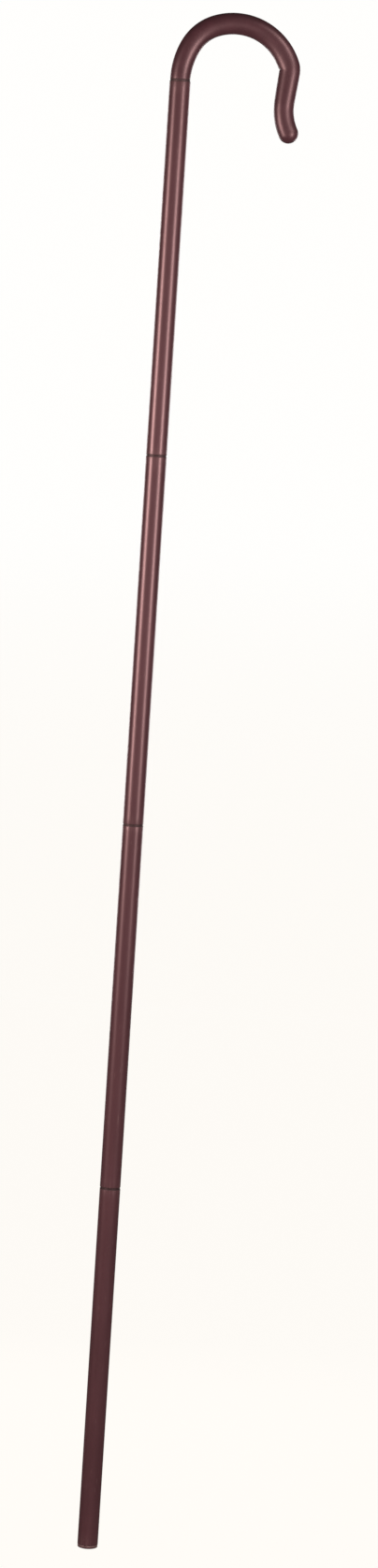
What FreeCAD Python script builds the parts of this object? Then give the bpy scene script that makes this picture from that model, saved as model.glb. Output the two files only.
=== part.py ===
import FreeCAD, Part
import os
import re
from math import atan2, cos, radians, sin

import Sketcher
from FreeCAD import Vector

# A knock-down shepherd's-crook cane: a bent crook, four equal straight tubes that plug
# together on short hidden connectors, and a domed foot plug.
# The origin is the middle of the foot. +Z runs up the shaft and the crook opens towards +X.

# Driving dimensions in millimetres and degrees: name, value, what it is.
DIMENSIONS = [
    ("tube_diameter", 18.6, "outside of the four straight tubes"),
    ("tube_bore", 15.2, "inside of the tubes and of the crook's socket"),
    ("tube_length", 329.0, "each straight tube"),
    ("tube_rim", 0.45, "rounding of the tubes' rims"),
    ("land_diameter", 15.1, "bearing lands of a spigot, a running fit in the bore"),
    ("waist_diameter", 14.5, "spigot between its lands"),
    ("land_length", 6.0, "each bearing land"),
    ("lead_in", 0.8, "chamfer at a spigot's tip"),
    ("spigot_length", 26.0, "spigot inside a tube"),
    ("stub_length", 10.0, "spigot inside the crook, short because the crook bends early"),
    ("spigot_bore", 11.6, "hollow of a spigot"),
    ("web", 2.0, "web that closes a connector's middle"),
    ("collar_diameter", 17.6, "collar that keeps two tubes apart"),
    ("collar_length", 1.2, "gap that the collar fills"),
    ("crook_diameter", 18.4, "outside of the crook"),
    ("crook_void", 14.4, "hollow of the crook beyond its socket"),
    ("crook_rim", 0.6, "rounding of the crook's open end"),
    ("neck_length", 1.0, "straight start of the crook"),
    ("shoulder_radius", 64.0, "first bend of the crook"),
    ("shoulder_turn", 27.5, "degrees"),
    ("haunch_radius", 39.0, "second, tighter bend"),
    ("haunch_turn", 43.0, "degrees"),
    ("bow_radius", 52.5, "long bend over the top"),
    ("bow_turn", 88.0, "degrees"),
    ("elbow_radius", 16.0, "tight bend at the top of the arm"),
    ("elbow_turn", 29.0, "degrees"),
    ("arm_length", 24.0, "straight arm below the elbow"),
    ("toe_radius", 48.0, "outward bend of the toe"),
    ("toe_turn", 34.0, "degrees"),
    ("toe_round", 9.1, "rounding of the closed toe, just under half the crook's diameter"),
    ("toe_lead", 0.3, "straight between the toe's bend and its rounding"),
    ("flange_diameter", 18.2, "foot plug's flange under the last tube"),
    ("flange_thickness", 3.2, "foot plug's flange at its middle"),
    ("foot_flat", 8.0, "flat middle of the foot"),
    ("dome_rise", 1.1, "how far the flange's rim stands above the flat"),
    ("dome_radius", 11.0, "arc from the flat to the rim"),
    ("flange_rim", 0.6, "rounding of the flange's lower rim"),
    ("plug_length", 16.0, "foot plug inside the last tube"),
    ("plug_diameter", 15.2, "foot plug's press bands"),
    ("plug_bore", 11.6, "hollow of the foot plug"),
]
TUBES = 4

doc = FreeCAD.newDocument("crook_cane")
sheet = doc.addObject("Spreadsheet::Sheet", "Dimensions")
for row, (alias, number, meaning) in enumerate(DIMENSIONS, start=1):
    sheet.set(f"A{row}", alias)
    sheet.set(f"B{row}", str(number))
    sheet.set(f"C{row}", meaning)
    sheet.setAlias(f"B{row}", alias)
doc.recompute()
SIZE = {alias: number for alias, number, _ in DIMENSIONS}


def cell(words):
    """An expression in which every name of the sheet's is written as the sheet's own cell."""
    return re.sub(r"\b[a-z]+(_[a-z]+)*\b", lambda name: "Dimensions." + name[0], words)


def new_body(label):
    body = doc.addObject("PartDesign::Body", label)
    body.Label = label
    return body


def new_sketch(body, name, role):
    """A sketch on one of the body's own origin planes."""
    sketch = body.newObject("Sketcher::SketchObject", f"{body.Label}_{name}")
    plane = next(item for item in body.Origin.OriginFeatures if item.Role == role)
    sketch.AttachmentSupport = [(plane, "")]
    sketch.MapMode = "FlatFace"
    return sketch


def dimension(sketch, kind, where, words):
    """Adds one dimension to the sketch and binds it to the sheet. Turns are in degrees."""
    number = sketch.evalExpression(cell(words))
    expression = cell(words)
    if kind == "Angle":
        number, expression = radians(number), f"({expression}) * 1 deg"
    index = sketch.addConstraint(Sketcher.Constraint(kind, *where, number))
    sketch.setExpression(f"Constraints[{index}]", expression)


def add_circle(sketch, words):
    """A circle about the sketch's origin whose diameter is an expression."""
    radius = sketch.evalExpression(cell(words)) / 2
    index = sketch.addGeometry(Part.Circle(Vector(0, 0, 0), Vector(0, 0, 1), radius))
    sketch.addConstraint(Sketcher.Constraint("Coincident", index, 3, -1, 1))
    dimension(sketch, "Diameter", (index,), words)


def add_outline(sketch, corners, arcs):
    """A closed outline through corners given as (radius, height) expressions.

    Each corner is held by its two distances from the origin. arcs maps an edge's number
    to the expression of its radius; such an edge bulges away from the axis and down.
    """
    spots = [[sketch.evalExpression(cell(words)) for words in corner] for corner in corners]
    points = [Vector(across, up, 0) for across, up in spots]
    for index, start in enumerate(points):
        end = points[(index + 1) % len(points)]
        if index in arcs:
            sketch.addGeometry(bulging_arc(start, end, sketch.evalExpression(cell(arcs[index]))))
            dimension(sketch, "Radius", (index,), arcs[index])
        else:
            sketch.addGeometry(Part.LineSegment(start, end))
    for index, (across, up) in enumerate(corners):
        before = (index - 1) % len(corners)
        sketch.addConstraint(Sketcher.Constraint("Coincident", before, 2, index, 1))
        for kind, words, axis in (("DistanceX", across, -2), ("DistanceY", up, -1)):
            if words == "0":
                sketch.addConstraint(Sketcher.Constraint("PointOnObject", index, 1, axis))
            else:
                dimension(sketch, kind, (-1, 1, index, 1), words)


def bulging_arc(start, end, radius):
    """The counterclockwise arc of that radius from start to end, less than half a turn."""
    chord = end - start
    middle = (start + end) * 0.5
    inward = Vector(-chord.y, chord.x, 0).normalize()
    centre = middle + inward * (radius**2 - (chord.Length / 2) ** 2) ** 0.5
    first = atan2(start.y - centre.y, start.x - centre.x)
    last = atan2(end.y - centre.y, end.x - centre.x)
    return Part.ArcOfCircle(Part.Circle(centre, Vector(0, 0, 1), radius), first, last)


def revolve(body, corners, arcs=()):
    """Turns an outline of (radius, height) corners all round the body's Z axis."""
    sketch = new_sketch(body, "profile", "XZ_Plane")
    add_outline(sketch, corners, dict(arcs))
    turned = body.newObject("PartDesign::Revolution", f"{body.Label}_turned")
    turned.Profile = sketch
    turned.ReferenceAxis = (sketch, ["V_Axis"])
    turned.Angle = 360
    doc.recompute()


def round_edges(body, name, radius, wanted):
    """Rounds the edges of the body's last feature that wanted() picks."""
    base = body.Tip
    picked = [f"Edge{n}" for n, edge in enumerate(base.Shape.Edges, start=1) if wanted(edge)]
    rounded = body.newObject("PartDesign::Fillet", f"{body.Label}_{name}")
    rounded.Base = (base, picked)
    rounded.setExpression("Radius", cell(radius))
    doc.recompute()


def is_ring(edge, height):
    """Whether an edge is a full circle about the Z axis at that height."""
    centre = edge.CenterOfMass
    return len(edge.Vertexes) == 1 and (centre - Vector(0, 0, height)).Length < 0.01


def place(body, words):
    """Lifts a body along the shaft by an expression of the sheet's."""
    body.setExpression("Placement.Base.z", cell(words))


def make_tube(number):
    """A straight round tube with softly rounded rims; tube 1 is the highest."""
    body = new_body(f"tube_{number}")
    ring = new_sketch(body, "ring", "XY_Plane")
    add_circle(ring, "tube_diameter")
    add_circle(ring, "tube_bore")
    wall = body.newObject("PartDesign::Pad", f"{body.Label}_wall")
    wall.Profile = ring
    wall.setExpression("Length", cell("tube_length"))
    doc.recompute()
    ends = (0, SIZE["tube_length"])
    round_edges(body, "rims", "tube_rim", lambda edge: any(is_ring(edge, end) for end in ends))
    place(body, f"flange_thickness + {TUBES - number} * (tube_length + collar_length)")
    return body


def spigot(root, length, way):
    """One spigot's outline, from its collar at the height root out to its bored tip.

    The outside runs from the collar along a bearing land, a waist and a second land to the
    chamfered tip. A spigot too short for two lands has one. way is + or - along the height.
    """
    lands = [("land_diameter / 2", root)]
    if SIZE[length] > 3 * SIZE["land_length"]:
        lands += [
            ("land_diameter / 2", f"{root} {way} land_length"),
            ("waist_diameter / 2", f"{root} {way} land_length"),
            ("waist_diameter / 2", f"{root} {way} ({length} - land_length)"),
            ("land_diameter / 2", f"{root} {way} ({length} - land_length)"),
        ]
    return lands + [
        ("land_diameter / 2", f"{root} {way} ({length} - lead_in)"),
        ("land_diameter / 2 - lead_in", f"{root} {way} {length}"),
        ("spigot_bore / 2", f"{root} {way} {length}"),
    ]


def make_connector(label, upper, height):
    """A hollow two-ended plug: a spigot each way from a thin collar, with a web between."""
    body = new_body(label)
    floor, ceiling = "spigot_length", "(spigot_length + collar_length)"
    middle = "(spigot_length + collar_length / 2)"
    below = spigot(floor, "spigot_length", "-")
    # The lowest corners stand at height 0, which the outline writes as a plain 0.
    below[-2:] = [("land_diameter / 2 - lead_in", "0"), ("spigot_bore / 2", "0")]
    above = spigot(ceiling, upper, "+")
    corners = (
        [("spigot_bore / 2", f"{middle} - web / 2")]
        + below[::-1]
        + [("collar_diameter / 2", floor), ("collar_diameter / 2", ceiling)]
        + above
        + [("spigot_bore / 2", f"{middle} + web / 2")]
        + [("0", f"{middle} + web / 2"), ("0", f"{middle} - web / 2")]
    )
    revolve(body, corners)
    place(body, height)
    return body


def make_foot_plug():
    """The plug that closes the lowest tube: a domed flange and a hollow pressed-in stem."""
    body = new_body("foot_plug")
    top = "flange_thickness + plug_length"
    corners = [
        ("0", "0"),
        ("foot_flat / 2", "0"),
        ("flange_diameter / 2", "dome_rise"),
        ("flange_diameter / 2", "flange_thickness"),
        ("plug_diameter / 2", "flange_thickness"),
        ("plug_diameter / 2", f"{top} - lead_in"),
        ("plug_diameter / 2 - lead_in", top),
        ("plug_bore / 2", top),
        ("plug_bore / 2", "flange_thickness"),
        ("0", "flange_thickness"),
    ]
    revolve(body, corners, arcs={1: "dome_radius"})
    round_edges(body, "rim", "flange_rim", lambda edge: is_ring(edge, SIZE["dome_rise"]))
    return body


def add_path(sketch, runs):
    """A chain of straight runs and tangent arcs that starts upwards at the origin.

    A run is (size, turn): a straight run's size is its length and its turn is None; an
    arc's size is its radius, and a turn that starts with - bends to the left.
    """
    spot, heading, last_end = Vector(0, 0, 0), 0.0, None
    for index, (size, turn) in enumerate(runs):
        number = sketch.evalExpression(cell(size))
        if turn is None:
            ahead = spot + Vector(sin(heading), cos(heading), 0) * number
            sketch.addGeometry(Part.LineSegment(spot, ahead))
            start_end, end_end = 1, 2
        else:
            side = -1 if turn.startswith("-") else 1
            swept = radians(sketch.evalExpression(cell(turn.lstrip("-"))))
            across = Vector(cos(heading), -sin(heading), 0) * (side * number)
            centre = spot + across
            first = atan2(-across.y, -across.x)
            last = first - side * swept
            circle = Part.Circle(centre, Vector(0, 0, 1), number)
            sketch.addGeometry(Part.ArcOfCircle(circle, min(first, last), max(first, last)))
            ahead = centre + Vector(cos(last), sin(last), 0) * number
            heading += side * swept
            # Arcs run counterclockwise, so a bend to the right starts at its second end.
            start_end, end_end = (2, 1) if side > 0 else (1, 2)
        if last_end is None:
            sketch.addConstraint(Sketcher.Constraint("Coincident", index, start_end, -1, 1))
            sketch.addConstraint(Sketcher.Constraint("Vertical", index))
        else:
            joined = (index - 1, last_end, index, start_end)
            sketch.addConstraint(Sketcher.Constraint("Tangent", *joined))
        if turn is None:
            dimension(sketch, "Distance", (index,), size)
        else:
            dimension(sketch, "Radius", (index,), size)
            dimension(sketch, "Angle", (index,), turn.lstrip("-"))
        spot, last_end = ahead, end_end
    return spot


def add_pipe(body, kind, name, diameter, runs):
    """Carries a circle along a chain of runs, as solid or as hollow. Returns where it ends."""
    path = new_sketch(body, f"{name}_path", "XZ_Plane")
    end = add_path(path, runs)
    section = new_sketch(body, f"{name}_section", "XY_Plane")
    add_circle(section, diameter)
    pipe = body.newObject(kind, f"{body.Label}_{name}")
    pipe.Profile = section
    pipe.Spine = (path, [])
    doc.recompute()
    return Vector(end.x, 0, end.y)


def make_crook():
    """The bent handle: a hollow round tube, open at its neck and rounded off at its toe."""
    body = new_body("crook_handle")
    bends = [
        ("neck_length", None),
        ("shoulder_radius", "shoulder_turn"),
        ("haunch_radius", "haunch_turn"),
        ("bow_radius", "bow_turn"),
        ("elbow_radius", "elbow_turn"),
        ("arm_length", None),
        ("toe_radius", "-toe_turn"),
    ]
    whole = bends + [("toe_lead + toe_round", None)]
    toe = add_pipe(body, "PartDesign::AdditivePipe", "bend", "crook_diameter", whole)
    round_edges(body, "toe", "toe_round", lambda edge: (edge.CenterOfMass - toe).Length < 0.01)
    round_edges(body, "rim", "crook_rim", lambda edge: is_ring(edge, 0))
    add_pipe(body, "PartDesign::SubtractivePipe", "void", "crook_void", bends)
    mouth = new_sketch(body, "socket_mouth", "XY_Plane")
    add_circle(mouth, "tube_bore")
    socket = body.newObject("PartDesign::Pocket", "crook_handle_socket")
    socket.Profile = mouth
    socket.Reversed = True
    socket.setExpression("Length", cell("stub_length + lead_in"))
    doc.recompute()
    place(body, f"flange_thickness + {TUBES} * (tube_length + collar_length)")
    return body


def check_document():
    """Stops if any feature failed."""
    for item in doc.Objects:
        if "Invalid" in item.State or "Error" in item.State:
            raise RuntimeError(f"{item.Name} failed: {item.State}")


def main():
    bodies = [make_crook()]
    tubes_up = "flange_thickness + {} * (tube_length + collar_length) - collar_length - spigot_length"
    bodies.append(make_connector("crook_plug", "stub_length", tubes_up.format(TUBES)))
    for number in range(1, TUBES + 1):
        bodies.append(make_tube(number))
    for number in range(1, TUBES):
        height = tubes_up.format(TUBES - number)
        bodies.append(make_connector(f"connector_{number}", "spigot_length", height))
    bodies.append(make_foot_plug())
    doc.recompute()
    check_document()
    for body in bodies:
        if body.Shape.isNull() or not body.Shape.isValid():
            raise RuntimeError(f"{body.Label} has no valid shape")
    os.makedirs("parts", exist_ok=True)
    for body in bodies:
        body.Shape.exportStep(f"parts/{body.Label}.step")
        box = body.Shape.optimalBoundingBox()
        print(f"{body.Label}: {body.Shape.Volume:.0f} mm3, z {box.ZMin:.1f} to {box.ZMax:.1f}")


main()
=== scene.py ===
from math import atan2, cos, degrees, pi, radians, sin, sqrt

import bpy
import numpy as np
from mathutils import Matrix, Vector


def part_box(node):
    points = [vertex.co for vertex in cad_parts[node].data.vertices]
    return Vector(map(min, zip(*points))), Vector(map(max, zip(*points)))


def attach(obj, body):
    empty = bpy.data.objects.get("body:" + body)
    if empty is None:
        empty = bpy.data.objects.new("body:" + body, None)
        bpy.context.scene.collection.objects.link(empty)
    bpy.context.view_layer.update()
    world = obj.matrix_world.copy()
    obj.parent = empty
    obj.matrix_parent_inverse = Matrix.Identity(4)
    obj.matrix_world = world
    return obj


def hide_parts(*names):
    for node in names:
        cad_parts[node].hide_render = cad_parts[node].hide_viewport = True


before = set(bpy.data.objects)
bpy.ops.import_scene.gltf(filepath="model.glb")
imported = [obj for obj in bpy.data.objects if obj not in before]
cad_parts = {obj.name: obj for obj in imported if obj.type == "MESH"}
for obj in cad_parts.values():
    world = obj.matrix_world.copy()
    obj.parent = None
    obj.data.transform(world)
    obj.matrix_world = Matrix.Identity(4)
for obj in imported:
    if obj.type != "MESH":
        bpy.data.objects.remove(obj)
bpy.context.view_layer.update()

# A knock-down crook cane hung by its crook: a moulded bent handle over four extruded tubes
# that plug together on short connectors, with a domed plug in the lowest tube.
# Metres throughout; the shaft runs up Z from the foot at the origin, the crook opens to +X.

# ---------------------------------------------------------------- sizes
TUBE_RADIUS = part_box("tube_1")[1].y
TUBE_BORE = 0.0076          # radius of the tubes' bore
TUBE_RIM = 0.00045          # rounding of the tubes' rims

COLLAR_LENGTH = 0.0012      # gap that a plug's collar keeps above a tube
CROOK_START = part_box("tube_1")[1].z + COLLAR_LENGTH
CROOK_RADIUS = 0.00890      # outer side of the crook, just inside the CAD's
CROOK_SOCKET = 0.0076       # radius of the socket in the crook's neck
CROOK_SOCKET_DEPTH = 0.0108
CROOK_SOCKET_FLARE = 0.0002     # how far the socket opens out at the lip
CROOK_SOCKET_STEP = 0.0002      # length over which the socket narrows to the hollow
CROOK_VOID = 0.0072         # radius of the hollow beyond the socket
CROOK_VOID_END = 0.0091     # from the end of the hollow to the tip of the toe
CROOK_RIM = 0.0006          # rounding of the crook's open end
CROOK_RIM_DRAW = 0.06       # share of the thickness that the open end is drawn in by
CROOK_TOE = 0.0087          # rounding of the toe
# The crook's line: each run's length if straight or radius if bent, and its turn in degrees.
CROOK_RUNS = (
    (0.0010, 0),            # neck
    (0.0640, 27.5),         # shoulder
    (0.0390, 43),           # haunch
    (0.0525, 88),           # bow over the top
    (0.0160, 29),           # elbow
    (0.0240, 0),            # arm
    (0.0480, -34),          # toe, bent back outwards
    (0.0094, 0),            # rounded end
)
CROOK_EASE = 0.005          # length over which one bend eases into the next
# How thick the crook is in its own plane at places along it: travelled length, thickness.
CROOK_THICKNESS = (
    (0.000, 0.0176), (0.003, 0.0179), (0.015, 0.0184), (0.035, 0.0188), (0.100, 0.0188),
    (0.122, 0.0190), (0.137, 0.0191), (0.150, 0.0187), (0.165, 0.0183), (0.182, 0.0176),
    (0.196, 0.0176), (0.214, 0.0176),
)
CREASE_AT = 0.1455          # the crease inside the elbow
CREASE_HALF_WIDTH = 0.0022
CREASE_DEPTH = 0.00055

FOOT_FLAT = 0.004           # radius of the foot's flat middle
FOOT_RISE = 0.0011          # how far the rim of the foot stands above its flat
FOOT_DOME = 0.011           # arc from the flat to the rim
FOOT_RIM = 0.0006           # rounding of the lower rim
FOOT_SHOULDER = 0.00035     # rounding of the flange where it meets the tube
FOOT_FLANGE = 0.0032        # height of the flange
FOOT_STEM = 0.0076          # radius of the stem pressed into the tube
FOOT_LEAD = 0.0008          # chamfer at the stem's top
FOOT_BORE = 0.0058          # radius of the hollow in the stem
FOOT_CORNER = 0.0002        # width of the chamfer at the bottom of that hollow, half as tall
POLE_RADIUS = 0.0004        # innermost ring, closed by a fan

# ---------------------------------------------------------------- how finely pieces are divided
ROUND_STEPS = 96            # faces round the tubes, the crook and the foot
TUBE_ROWS = 60
RIM_ROWS = 6                # rows over a tube's or the flange's small rounding
FOOT_FLAT_ROWS = 8
FOOT_DOME_ROWS = 18
FOOT_RIM_ROWS = 8
LINE_STEPS = 1400           # steps along the crook's middle line
VOID_ROWS = 90
SOCKET_ROWS = 10
LIP_ROWS = 8
CROOK_ROWS = 419
TOE_ROWS = 24


# ---------------------------------------------------------------- meshes
def arc_points(centre, radius, first, last, count):
    """Points (across, up) of a circular arc between two angles in degrees.

    Each is the centre plus the radius times (cos t, sin t), with t evenly spaced.
    """
    turn = np.radians(np.linspace(first, last, count))
    return np.column_stack((centre[0] + radius * np.cos(turn), centre[1] + radius * np.sin(turn)))


def round_steps():
    """The angles of the points once round a piece."""
    return np.linspace(0, 2 * pi, ROUND_STEPS, endpoint=False)


def with_poles(values, closed):
    """A grid's values as a list of rows, with each end row's mean added for its pole."""
    flat = values.reshape(-1, values.shape[-1])
    if closed:
        return flat
    return np.vstack((flat, values[0].mean(axis=0), values[-1].mean(axis=0)))


def grid_faces(rows, columns, closed):
    """Corner numbers of the quads between neighbouring rows and columns, and of the fans.

    The columns always close on themselves. The rows close too, or each end row is joined
    to its pole by a fan of triangles.
    """
    index = np.arange(rows * columns).reshape(rows, columns)
    beside = np.roll(index, -1, axis=1)
    above = np.roll(index, -1, axis=0)
    above_beside = np.roll(beside, -1, axis=0)
    quads = np.stack((index, beside, above_beside, above), axis=-1)
    if closed:
        return quads.reshape(-1, 4).tolist()
    pole = np.full(columns, rows * columns)
    first_fan = np.column_stack((beside[0], index[0], pole))
    last_fan = np.column_stack((index[-1], beside[-1], pole + 1))
    return quads[:-1].reshape(-1, 4).tolist() + first_fan.tolist() + last_fan.tolist()


def grid_piece(name, points, uv, label, measure, closed=False):
    """A piece from a grid of points: rows along the piece, columns once round it.

    The rows close on themselves, as on a tube with a bore, or end in a fan at each pole.
    uv holds (round, along) in metres for every point, and measure is one value per row
    that the materials read by its label.
    """
    rows, columns = points.shape[:2]
    mesh = bpy.data.meshes.new(name)
    faces = grid_faces(rows, columns, closed)
    mesh.from_pydata(with_poles(points, closed).tolist(), [], faces)
    mesh.polygons.foreach_set("use_smooth", np.ones(len(faces), bool))
    spread = np.repeat(measure[:, None, None], columns, axis=1)
    values = with_poles(spread, closed).ravel().astype(np.float32)
    mesh.attributes.new(label, "FLOAT", "POINT").data.foreach_set("value", values)
    corners = np.empty(len(mesh.loops), np.int32)
    mesh.loops.foreach_get("vertex_index", corners)
    placed = with_poles(uv, closed)[corners].astype(np.float32)
    mesh.uv_layers.new(name="surface").data.foreach_set("uv", placed.ravel())
    mesh.validate()
    mesh.update()
    piece = bpy.data.objects.new(name, mesh)
    bpy.context.scene.collection.objects.link(piece)
    return piece


def turned_piece(name, profile, base, label, measure, closed=False):
    """A piece turned about Z: its profile of (radius, height) goes once round the axis.

    A point is (radius cos t, radius sin t, base + height), with t going once round.
    """
    turn = round_steps()
    radius, height = profile[:, 0][:, None], profile[:, 1][:, None]
    points = np.stack(
        (radius * np.cos(turn), radius * np.sin(turn), base + height + 0 * turn), axis=-1
    )
    travelled = np.append(0, np.cumsum(np.linalg.norm(np.diff(profile, axis=0), axis=1)))
    uv = np.stack(
        (turn * TUBE_RADIUS + 0 * height, travelled[:, None] + 0 * turn), axis=-1
    )
    return grid_piece(name, points, uv, label, measure, closed)


def make_tube(node):
    """A straight extruded tube with its bore, its four rims rounded.

    The profile runs up the outside, over the top rim, down the bore and round the lower
    rim. The rims' arcs start or stop 15 degrees short of a wall, whose last point closes
    them. "from_rim" is the distance along the tube to its nearer end.
    """
    low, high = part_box(node)
    length = high.z - low.z
    up = np.linspace(TUBE_RIM, length - TUBE_RIM, TUBE_ROWS)
    outer, inner = TUBE_RADIUS - TUBE_RIM, TUBE_BORE + TUBE_RIM
    profile = np.vstack((
        np.column_stack((np.full(TUBE_ROWS, TUBE_RADIUS), up)),
        arc_points((outer, length - TUBE_RIM), TUBE_RIM, 15, 90, RIM_ROWS),
        arc_points((inner, length - TUBE_RIM), TUBE_RIM, 90, 165, RIM_ROWS),
        np.column_stack((np.full(TUBE_ROWS, TUBE_BORE), up[::-1])),
        arc_points((inner, TUBE_RIM), TUBE_RIM, 195, 270, RIM_ROWS),
        arc_points((outer, TUBE_RIM), TUBE_RIM, 270, 345, RIM_ROWS),
    ))
    from_rim = np.minimum(profile[:, 1], length - profile[:, 1])
    return turned_piece(f"shaft_{node}", profile, low.z, "from_rim", from_rim, closed=True)


def make_foot():
    """The foot plug: a domed flange below the tube and a hollow stem inside it.

    The underside is flat in the middle, rises as a circular arc and turns up into the rim by
    a small arc that meets it smoothly. The dome's centre lies on the middle of its chord's
    perpendicular, and the rim's lies where both arcs touch. "height" is the height above
    the ground.
    """
    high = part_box("foot_plug")[1]
    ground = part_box("tube_4")[0].z - FOOT_FLANGE
    edge, top = high.y, high.z - ground
    half_chord = np.array((edge - FOOT_FLAT, FOOT_RISE)) / 2
    reach = sqrt(FOOT_DOME ** 2 - half_chord @ half_chord) / np.hypot(*half_chord)
    square_to_chord = np.array((-half_chord[1], half_chord[0]))
    dome_centre = np.array((FOOT_FLAT, 0)) + half_chord + reach * square_to_chord
    rim_across = edge - FOOT_RIM - dome_centre[0]
    rim_drop = sqrt((FOOT_DOME - FOOT_RIM) ** 2 - rim_across ** 2)
    rim_centre = (edge - FOOT_RIM, dome_centre[1] - rim_drop)
    start = degrees(atan2(-dome_centre[1], FOOT_FLAT - dome_centre[0]))
    meet = degrees(atan2(-rim_drop, rim_across))
    shoulder_centre = (edge - FOOT_SHOULDER, FOOT_FLANGE - FOOT_SHOULDER)
    flat_rows = np.linspace(POLE_RADIUS, FOOT_FLAT, FOOT_FLAT_ROWS + 1)[:-1]
    profile = np.vstack((
        np.column_stack((flat_rows, np.zeros(FOOT_FLAT_ROWS))),
        arc_points(dome_centre, FOOT_DOME, start, meet, FOOT_DOME_ROWS),
        arc_points(rim_centre, FOOT_RIM, meet, 0, FOOT_RIM_ROWS)[1:],
        arc_points(shoulder_centre, FOOT_SHOULDER, 0, 90, RIM_ROWS),
        [
            (FOOT_STEM, FOOT_FLANGE),
            (FOOT_STEM, top - FOOT_LEAD),
            (FOOT_STEM - FOOT_LEAD, top),
            (FOOT_BORE, top),
            (FOOT_BORE, FOOT_FLANGE + FOOT_CORNER / 2),
            (FOOT_BORE - FOOT_CORNER, FOOT_FLANGE),
            (POLE_RADIUS, FOOT_FLANGE),
        ],
    ))
    return turned_piece("foot_cap", profile, ground, "height", profile[:, 1])


def crook_line():
    """The crook's middle line as travelled length, position and heading, all arrays.

    The heading is the sum of the bends passed so far, each run adding its turn evenly, and
    is averaged over a few millimetres so that one bend eases into the next. The position
    is the running sum of short steps along the heading.
    """
    lengths = [size * abs(radians(turn)) if turn else size for size, turn in CROOK_RUNS]
    run_ends = np.append(0, np.cumsum(lengths))
    run_headings = np.append(0, np.cumsum([radians(turn) for _, turn in CROOK_RUNS]))
    travelled = np.linspace(0, run_ends[-1], LINE_STEPS)
    step = travelled[1] - travelled[0]
    window = int(CROOK_EASE / step) | 1
    padded = np.pad(np.interp(travelled, run_ends, run_headings), window // 2, mode="edge")
    heading = np.convolve(padded, np.ones(window) / window, mode="valid")
    heading -= heading[0]
    between = (heading[1:] + heading[:-1]) / 2
    across = np.append(0, np.cumsum(np.sin(between))) * step
    up = np.append(0, np.cumsum(np.cos(between))) * step
    return travelled, across, up, heading


def crook_rows(total):
    """Where the crook's rows lie along it, how wide its hollow is there, and its outside.

    The rows run down the hollow from its end to the mouth, round the lip by two quarter
    turns and up the outside, where the toe's rows close in as a half circle does. The
    hollow has a radius for each of its rows, and the outside a share of its full thickness.
    """
    lip = np.radians(np.linspace(0, 90, LIP_ROWS))
    toe = np.radians(np.linspace(0, 90, TOE_ROWS + 2))[1:-1]
    outside = np.linspace(CROOK_RIM, total - CROOK_TOE, CROOK_ROWS + 1)[1:]
    at = np.concatenate((
        np.linspace(total - CROOK_VOID_END, CROOK_SOCKET_DEPTH, VOID_ROWS),
        np.linspace(CROOK_SOCKET_DEPTH - CROOK_SOCKET_STEP, CROOK_RIM, SOCKET_ROWS),
        CROOK_RIM * (1 - np.sin(lip)),
        CROOK_RIM * (1 - np.cos(lip)),
        outside,
        total - CROOK_TOE + CROOK_TOE * np.sin(toe),
    ))
    hollow = np.concatenate((
        np.full(VOID_ROWS, CROOK_VOID),
        np.full(SOCKET_ROWS, CROOK_SOCKET),
        CROOK_SOCKET + CROOK_SOCKET_FLARE * (1 - np.cos(lip)),
    ))
    share = np.concatenate((
        1 - CROOK_RIM_DRAW * (1 - np.sin(lip)), np.ones(CROOK_ROWS), np.cos(toe),
    ))
    return at, hollow, share


def make_crook():
    """The bent handle as one closed skin: its hollow, its rounded mouth and its outside.

    Every row is an oval about the middle line. Its half width across the crook's plane
    stays the CAD's; within the plane the outer half is the CAD's too and the inner half
    takes the rest of the thickness. On the inner side of the elbow a narrow crease is
    pressed in, as deep as a bell curve along the crook and deepest in the crook's plane.
    "along" is the travelled length.
    """
    travelled, line_across, line_up, heading = crook_line()
    at, hollow, share = crook_rows(travelled[-1])
    turn = round_steps()
    places, thickness = np.array(CROOK_THICKNESS).T
    half = np.interp(at, places, thickness)[len(hollow):] / 2
    outer_half = np.minimum(half, CROOK_RADIUS)
    inner_half = 2 * half - outer_half
    bell = np.exp(-(((at[len(hollow):] - CREASE_AT) / CREASE_HALF_WIDTH) ** 2))[:, None]
    inward = np.clip(-np.cos(turn), 0, 1)
    plane_half = np.where(np.cos(turn) > 0, outer_half[:, None], inner_half[:, None])
    plane_half = plane_half * share[:, None] - CREASE_DEPTH * bell * inward ** 2
    side_half = (outer_half * share)[:, None] + 0 * turn
    wall = hollow[:, None] + 0 * turn
    across_plane = np.vstack((wall, plane_half)) * np.cos(turn)
    sideways = np.vstack((wall, side_half)) * np.sin(turn)

    x = np.interp(at, travelled, line_across)[:, None]
    z = np.interp(at, travelled, line_up)[:, None] + CROOK_START
    lean = np.interp(at, travelled, heading)[:, None]
    # Outwards from the bend is to the left of the heading.
    points = np.stack(
        (x - across_plane * np.cos(lean), sideways, z + across_plane * np.sin(lean)), axis=-1
    )
    uv = np.stack((turn * CROOK_RADIUS + 0 * x, at[:, None] + 0 * turn), axis=-1)
    return grid_piece("bent_crook", points, uv, "along", at)


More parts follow.
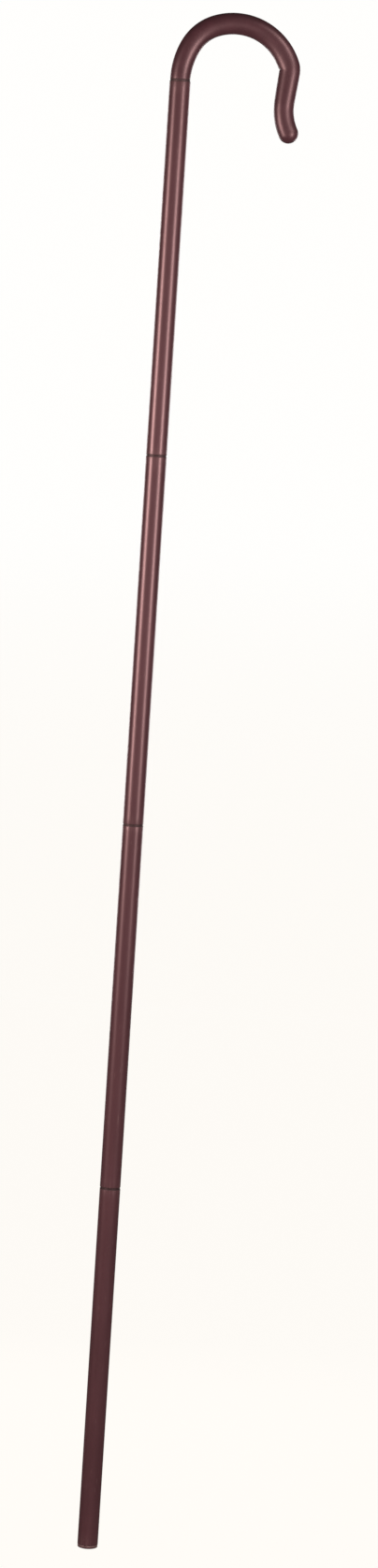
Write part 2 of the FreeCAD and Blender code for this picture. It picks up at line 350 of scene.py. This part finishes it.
# ---------------------------------------------------------------- materials
BROWN = (0.031, 0.0108, 0.0128, 1)
BROWN_DEEP = (0.026, 0.0088, 0.0105, 1)
BROWN_LIGHT = (0.037, 0.0130, 0.0152, 1)
CROOK_BROWN = (0.0245, 0.0076, 0.0098, 1)
CROOK_DEEP = (0.0205, 0.0062, 0.0080, 1)
CROOK_LIGHT = (0.0290, 0.0092, 0.0118, 1)
# near-black browns: the plugs' own dark plastic darkened further as painted shade for the joint
# gaps
PLUG_SHADED_DEEP = (0.007, 0.0035, 0.0035, 1)
PLUG_SHADED_LIGHT = (0.012, 0.006, 0.006, 1)
SCUFF_AND_HIGHLIGHT_TONE = (0.21, 0.135, 0.125, 1)   # pale, where the surface is scratched or rubbed, and the painted highlight along the foot's seam
# painted shade: the near-black brown laid on the tubes' rims and the crook's mouth, standing in
# for the shade in the joints
RIM_SHADE_TONE = (0.006, 0.003, 0.003, 1)
GLINT = (1.0, 0.62, 0.61, 1)        # the plastic's gloss is faintly red
GLOSSY = 1.5                        # index of refraction of the tubes and the crook
SATIN = 1.45                        # and of the plugs and the foot
RELIEF = 0.00003                    # height of the bump that all skins have
TUBE_RIM_SHADE = (0.0011, 0.0003)       # distances from a rim where the painted shade starts and is full
# distances from the crook's mouth where its painted shade starts and is full
CROOK_MOUTH_SHADE = (0.0012, 0.0003)
RUBBED = (0.014, 0.001)             # distances from a tube's end where rubbing starts and is full
SEAM_HIGHLIGHT = (0.0026, 0.0029)        # heights where the painted highlight on the foot's seam starts and is full
DOME_SCUFF = (0.0014, 0.0002)       # heights where the scuffed dome starts and is full


class Value:
    """A shader socket that can stand in arithmetic; every operation adds one Math node."""

    def __init__(self, paint, socket):
        self.paint, self.socket = paint, socket

    def _math(self, operation, *values):
        inputs = dict(enumerate(values))
        return self.paint.node("ShaderNodeMath", {"operation": operation}, inputs)

    def __add__(self, other):
        return self._math("ADD", self, other)

    def __sub__(self, other):
        return self._math("SUBTRACT", self, other)

    def __rsub__(self, other):
        return self._math("SUBTRACT", other, self)

    def __mul__(self, other):
        return self._math("MULTIPLY", self, other)

    __radd__ = __add__
    __rmul__ = __mul__

    def ease(self, start, full):
        """0 at start, 1 at full and smooth between; start may be the larger."""
        settings = {"interpolation_type": "SMOOTHSTEP"}
        return self.paint.node("ShaderNodeMapRange", settings, {0: self, 1: start, 2: full})


class Paint:
    """The nodes of one material, or of the surroundings."""

    def __init__(self, owner):
        owner.use_nodes = True
        self.owner, self.tree = owner, owner.node_tree
        self.tree.nodes.clear()

    def node(self, kind, settings=None, inputs=None, output=0):
        """Adds one node: its settings first, then its sockets' values or links."""
        made = self.tree.nodes.new(kind)
        for name, value in (settings or {}).items():
            setattr(made, name, value)
        for socket, value in (inputs or {}).items():
            if isinstance(value, Value):
                self.tree.links.new(value.socket, made.inputs[socket])
            else:
                made.inputs[socket].default_value = value
        return Value(self, made.outputs[output]) if made.outputs else made

    def place(self):
        return self.node("ShaderNodeTexCoord", output="Object")

    def measure(self, name):
        return self.node("ShaderNodeAttribute", {"attribute_name": name}, output="Fac")

    def stretched(self, where, scale):
        """A pattern's coordinates, scaled differently along each axis."""
        return self.node("ShaderNodeMapping", inputs={"Vector": where, "Scale": scale})

    def noise(self, where, scale, detail, roughness=0.5):
        """Cloudy noise from 0 to 1, with scale in waves per metre."""
        inputs = {"Vector": where, "Scale": scale, "Detail": detail, "Roughness": roughness}
        return self.node("ShaderNodeTexNoise", inputs=inputs)

    def blend(self, share, first, second):
        """A colour between two others. The Mix node's colours are sockets 6, 7 and 2."""
        inputs = {0: share, 6: first, 7: second}
        return self.node("ShaderNodeMix", {"data_type": "RGBA"}, inputs, output=2)

    def skin(self, tone, roughness, relief, refraction):
        """Closes a plastic's tree with one Principled BSDF, and returns its material."""
        surface = self.node("ShaderNodeBsdfPrincipled", inputs={
            "Base Color": tone,
            "Roughness": roughness,
            "Normal": self.node("ShaderNodeBump", inputs={"Height": relief, "Distance": RELIEF}),
            "IOR": refraction,
            "Specular Tint": GLINT,
        })
        self.node("ShaderNodeOutputMaterial", inputs={"Surface": surface})
        return self.owner


def extruded_plastic():
    """Tube skin: faint die lines along the tube, soft mottling, fine scratches, and painted shade
    darkening the rims.
    """
    paint = Paint(bpy.data.materials.new("extruded_brown_plastic"))
    place = paint.place()
    lines = paint.noise(paint.stretched(place, (1, 1, 0.012)), 900, 3, 0.6)
    mottle = paint.noise(paint.stretched(place, (1, 1, 0.25)), 60, 3)
    cloud = paint.noise(paint.stretched(place, (1, 1, 0.3)), 14, 2)
    grain = paint.noise(place, 1500, 2)
    scratch_line = paint.noise(paint.stretched(place, (1, 1, 0.03)), 2600, 1)
    scratch_patch = paint.noise(place, 90, 2).ease(0.52, 0.68)
    scratch = scratch_line.ease(0.68, 0.74) * scratch_patch
    from_rim = paint.measure("from_rim")
    # painted shade: darkens the last millimetre at each rim, broken up by noise, where the joints
    # fall in shade
    rim_shade = from_rim.ease(*TUBE_RIM_SHADE) * paint.noise(place, 500, 3).ease(0.15, 0.5)
    rub = from_rim.ease(*RUBBED) * lines.ease(0.35, 0.7)
    tone = paint.blend(mottle.ease(0.3, 0.7), BROWN_DEEP, BROWN_LIGHT)
    tone = paint.blend(cloud.ease(0.2, 0.8) * 0.5 + 0.25, tone, BROWN)
    tone = paint.blend(scratch * 0.25 + rub * 0.06, tone, SCUFF_AND_HIGHLIGHT_TONE)
    # lays the painted rim shade over the colour
    tone = paint.blend(rim_shade * 0.85, tone, RIM_SHADE_TONE)
    roughness = 0.30 + lines * 0.08 + cloud * 0.06 + scratch * 0.18 + rim_shade * 0.35
    relief = lines * 0.5 + grain * 0.35 - scratch * 0.8 + mottle * 1.2
    return paint.skin(tone, roughness, relief, GLOSSY)


def moulded_plastic():
    """Crook skin: a deeper brown, moulded, with a fine orange peel, handling scuffs and painted
    shade at its mouth.
    """
    paint = Paint(bpy.data.materials.new("moulded_brown_plastic"))
    place = paint.place()
    peel = paint.noise(place, 420, 2)
    fine = paint.noise(place, 1600, 2)
    cloud = paint.noise(place, 32, 3)
    mottle = paint.noise(place, 110, 3)
    scuff_patch = paint.noise(place, 75, 2).ease(0.54, 0.70)
    scuff_line = paint.noise(paint.stretched(place, (1, 0.12, 1)), 2100, 1)
    scuff = scuff_line.ease(0.66, 0.74) * scuff_patch
    along = paint.measure("along")
    # painted shade: darkens the crook's mouth where it meets the top tube, broken up by mottling
    rim_shade = along.ease(*CROOK_MOUTH_SHADE) * mottle.ease(0.2, 0.5)
    tone = paint.blend(mottle.ease(0.3, 0.7), CROOK_DEEP, CROOK_LIGHT)
    tone = paint.blend(cloud.ease(0.2, 0.8) * 0.5 + 0.25, tone, CROOK_BROWN)
    tone = paint.blend(scuff * 0.25, tone, SCUFF_AND_HIGHLIGHT_TONE)
    # lays the painted shade at the mouth over the colour
    tone = paint.blend(rim_shade * 0.85, tone, RIM_SHADE_TONE)
    roughness = 0.37 + cloud * 0.1 + fine * 0.03 + scuff * 0.15 + rim_shade * 0.3
    relief = peel * 1.4 + fine * 0.3 - scuff * 0.6
    return paint.skin(tone, roughness, relief, GLOSSY)


def plug_plastic():
    """Plugs between the tubes: dark satin plastic, darkened further as painted shade for the gaps
    at the joints, with fine turning rings and light wear.
    """
    paint = Paint(bpy.data.materials.new("connector_brown_plastic"))
    place = paint.place()
    rings = paint.noise(paint.stretched(place, (0.05, 0.05, 1)), 1800, 2)
    grain = paint.noise(place, 1300, 3)
    wear = paint.noise(place, 160, 3).ease(0.48, 0.66) * 0.04
    # the near-black tone is partly the plugs' own colour and partly painted shade for the joint
    # gaps
    tone = paint.blend(grain.ease(0.3, 0.7), PLUG_SHADED_DEEP, PLUG_SHADED_LIGHT)
    tone = paint.blend(wear, tone, SCUFF_AND_HIGHLIGHT_TONE)
    roughness = 0.50 + grain * 0.1 + wear * 0.25
    relief = rings * 0.8 + grain * 0.6
    return paint.skin(tone, roughness, relief, SATIN)


def foot_plastic():
    """Foot skin: satin, scuffed below, with a painted highlight as a pale line where it meets the
    tube.
    """
    paint = Paint(bpy.data.materials.new("foot_brown_plastic"))
    place = paint.place()
    grain = paint.noise(place, 1300, 3)
    blotch = paint.noise(place, 160, 3)
    height = paint.measure("height")
    # painted highlight: a pale line along the flange's top edge, broken up by blotches
    seam_highlight = height.ease(*SEAM_HIGHLIGHT) * blotch.ease(0.25, 0.5)
    scuff = height.ease(*DOME_SCUFF) * blotch.ease(0.45, 0.62)
    tone = paint.blend(grain.ease(0.3, 0.7), BROWN_DEEP, BROWN)
    # mixes the painted seam highlight and the real scuffs below into the pale tone
    tone = paint.blend(seam_highlight * 0.8 + scuff * 0.25, tone, SCUFF_AND_HIGHLIGHT_TONE)
    roughness = 0.48 + grain * 0.1 + scuff * 0.25
    relief = grain * 0.6 + blotch * 0.5 - scuff * 0.6
    return paint.skin(tone, roughness, relief, SATIN)


# ---------------------------------------------------------------- stage
FLOOR_HEIGHT = -0.35        # below the foot, because the cane hangs
FLOOR_RADIUS = 60
FLOOR_STEPS = 128
FLOOR_FADE = (3.0, 30.0)    # distances where the floor starts to fade and is gone
FLOOR_MATT = (0.010, 0.009, 0.008, 1)
FLOOR_GLOW = (1.0, 0.972, 0.93, 1)
FLOOR_GLOW_STRENGTH = 0.985
PALE = (1.0, 0.995, 0.98, 1)
DIM = (1.0, 0.95, 0.92, 1)
DIM_STRENGTH = 0.09


def make_floor():
    """A wide pale disc below the hanging cane that fades into the pale surroundings.

    Its rim's points are (radius cos t, radius sin t, height), with t going once round.
    """
    turn = np.linspace(0, 2 * pi, FLOOR_STEPS, endpoint=False)
    rim = np.column_stack((
        FLOOR_RADIUS * np.cos(turn),
        FLOOR_RADIUS * np.sin(turn),
        np.full(FLOOR_STEPS, FLOOR_HEIGHT),
    ))
    mesh = bpy.data.meshes.new("pale_floor")
    mesh.from_pydata(rim.tolist(), [], [list(range(FLOOR_STEPS))])
    floor = bpy.data.objects.new("pale_floor", mesh)
    bpy.context.scene.collection.objects.link(floor)
    paint = Paint(bpy.data.materials.new("pale_floor_paint"))
    measured = {"operation": "LENGTH"}
    distance = paint.node("ShaderNodeVectorMath", measured, {0: paint.place()}, output="Value")
    matt = paint.node("ShaderNodeBsdfDiffuse", inputs={"Color": FLOOR_MATT})
    glow = paint.node(
        "ShaderNodeEmission", inputs={"Color": FLOOR_GLOW, "Strength": FLOOR_GLOW_STRENGTH}
    )
    lit = paint.node("ShaderNodeAddShader", inputs={0: matt, 1: glow})
    clear = paint.node("ShaderNodeBsdfTransparent")
    faded = {0: distance.ease(*FLOOR_FADE), 1: lit, 2: clear}
    mixed = paint.node("ShaderNodeMixShader", inputs=faded)
    paint.node("ShaderNodeOutputMaterial", inputs={"Surface": mixed})
    mesh.materials.append(paint.owner)
    floor.visible_glossy = False
    floor.visible_shadow = False


def make_surroundings():
    """Pale all round to the eye, and dimmer where the cane reflects it or is lit by it."""
    world = bpy.data.worlds.new("pale_studio")
    bpy.context.scene.world = world
    paint = Paint(world)
    seen = paint.node("ShaderNodeBackground", inputs={"Color": PALE, "Strength": 1.0})
    dim = paint.node("ShaderNodeBackground", inputs={"Color": DIM, "Strength": DIM_STRENGTH})
    looked_at = paint.node("ShaderNodeLightPath", output="Is Camera Ray")
    mixed = paint.node("ShaderNodeMixShader", inputs={0: looked_at, 1: dim, 2: seen})
    paint.node("ShaderNodeOutputWorld", inputs={"Surface": mixed})


PINK_LIGHT = (1.0, 0.90, 0.88)
PALE_LIGHT = (1.0, 0.94, 0.94)
WHITE_LIGHT = (1.0, 0.97, 0.98)
# Windows and a pale room in front, softer panels behind, and two fills that only light.
# Name: bearing in degrees from -Y towards +X, distance from the shaft, height, the height
# aimed at, width and height of the panel, watts, colour, and whether the cane mirrors it.
LIGHTS = {
    "left_window": (-60, 1.6, 0.93, 0.93, 0.42, 0.72, 43, PINK_LIGHT, True),
    "right_window": (44, 1.6, 1.00, 1.00, 0.36, 0.84, 34, PALE_LIGHT, True),
    "front_room": (-3, 1.6, 0.91, 0.91, 1.3, 0.82, 4.2, WHITE_LIGHT, True),
    "high_right": (51, 1.6, 2.3, 1.35, 0.36, 0.36, 25, PALE_LIGHT, True),
    "back_left": (-152, 2.4, 0.9, 0.9, 0.5, 1.4, 14, PALE_LIGHT, True),
    "back_right": (148, 2.4, 0.9, 0.9, 0.5, 1.4, 14, PALE_LIGHT, True),
    "back_fill": (180, 2.4, 0.8, 0.8, 1.0, 1.4, 55, PALE_LIGHT, False),
    "low_fill": (0, 1.0, 0.05, 0.15, 0.5, 0.5, 5, PALE_LIGHT, False),
}


def make_lights():
    """Soft panels on circles about the shaft, each turned to face it at its own height."""
    for name, row in LIGHTS.items():
        bearing, reach, height, aim, width, tall, watts, colour, mirrored = row
        panel = bpy.data.lights.new(name, "AREA")
        panel.shape = "RECTANGLE"
        panel.size = width
        panel.size_y = tall
        panel.energy = watts
        panel.color = colour
        lamp = bpy.data.objects.new(name, panel)
        turn = radians(bearing)
        spot = Vector((sin(turn) * reach, -cos(turn) * reach, height))
        lamp.location = spot
        lamp.rotation_euler = (Vector((0, 0, aim)) - spot).to_track_quat("-Z", "Y").to_euler()
        lamp.visible_camera = False
        lamp.visible_glossy = mirrored
        bpy.context.scene.collection.objects.link(lamp)


CAMERA_SPOT = (-0.055, -4.0, 1.104)
CAMERA_LENS = 103.2         # focal length and sensor width in millimetres
CAMERA_SENSOR = 36.0
CAMERA_YAW = 1.47           # degrees: turned to the right, tipped down and rolled
CAMERA_PITCH = 5.73
CAMERA_ROLL = 3.69
CAMERA_NEAR = 0.05
CAMERA_FAR = 500


def make_camera():
    """Looks at the cane from in front and a little down, rolled as a hand holds it.

    The view's axes are the level ones turned about the line of sight by the roll.
    """
    data = bpy.data.cameras.new("studio_camera")
    data.sensor_width = CAMERA_SENSOR
    data.lens = CAMERA_LENS
    data.clip_start = CAMERA_NEAR
    data.clip_end = CAMERA_FAR
    yaw, pitch, roll = radians(CAMERA_YAW), radians(CAMERA_PITCH), radians(CAMERA_ROLL)
    ahead = Vector((sin(yaw) * cos(pitch), cos(yaw) * cos(pitch), -sin(pitch)))
    level_right = Vector((cos(yaw), -sin(yaw), 0))
    level_up = level_right.cross(ahead)
    right = level_right * cos(roll) + level_up * sin(roll)
    up = level_up * cos(roll) - level_right * sin(roll)
    turned = Matrix((right, up, -ahead)).transposed()
    camera = bpy.data.objects.new("studio_camera", data)
    camera.matrix_world = Matrix.Translation(CAMERA_SPOT) @ turned.to_4x4()
    bpy.context.scene.collection.objects.link(camera)
    bpy.context.scene.camera = camera


# ---------------------------------------------------------------- the cane
bpy.context.scene.view_settings.view_transform = "Standard"
make_camera()
make_surroundings()
make_lights()
make_floor()

tube_skin = extruded_plastic()
for node in ("tube_1", "tube_2", "tube_3", "tube_4"):
    tube = make_tube(node)
    tube.data.materials.append(tube_skin)
    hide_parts(node)
    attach(tube, node)

crook = make_crook()
crook.data.materials.append(moulded_plastic())
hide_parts("crook_handle")
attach(crook, "crook")

foot = make_foot()
foot.data.materials.append(foot_plastic())
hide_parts("foot_plug")
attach(foot, "tube_4")

plug_skin = plug_plastic()
for node in ("crook_plug", "connector_1", "connector_2", "connector_3"):
    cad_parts[node].material_slots[0].material = plug_skin
